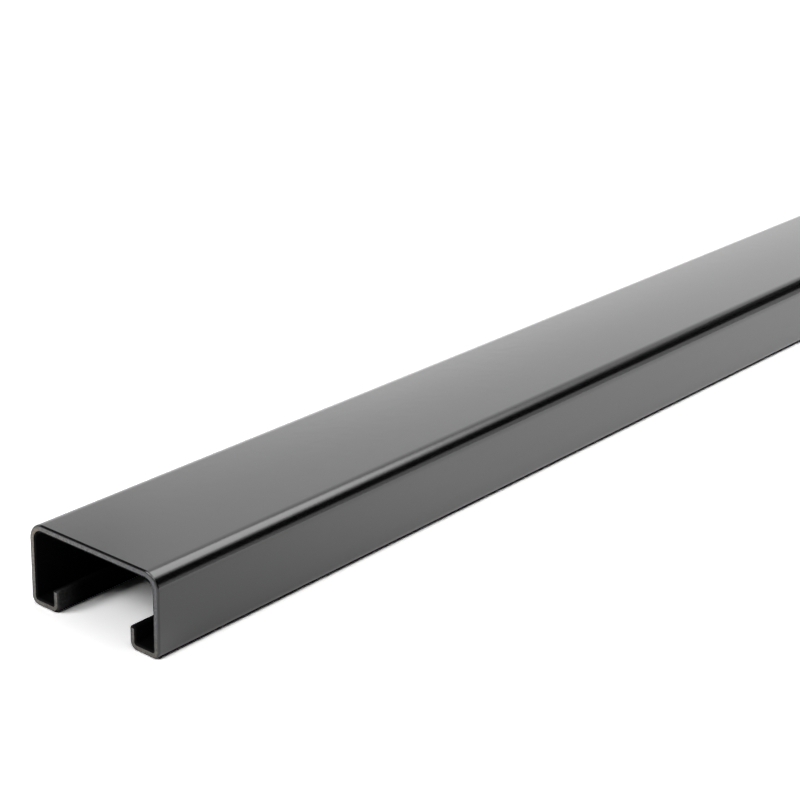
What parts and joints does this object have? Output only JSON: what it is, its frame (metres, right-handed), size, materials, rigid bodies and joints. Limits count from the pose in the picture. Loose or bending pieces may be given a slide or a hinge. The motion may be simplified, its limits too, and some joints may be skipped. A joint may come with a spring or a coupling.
{
  "type": "strut channel",
  "caption": "Shallow C-section support channel in black coated steel, with a plain web and a slot along its open side between inturned lips.",
  "frame": {"origin": "middle of the length and of the width, on the plane the flanges lie on", "axes": "+X along the length, +Y across the section, +Z from the slot up to the web"},
  "size_m": [1, 0.0412, 0.0206],
  "materials": {
    "black_coat": "semi-gloss powder coat"
  },
  "bodies": {
    "root": {"strut_channel": "black_coat"}
  },
  "joints": []
}
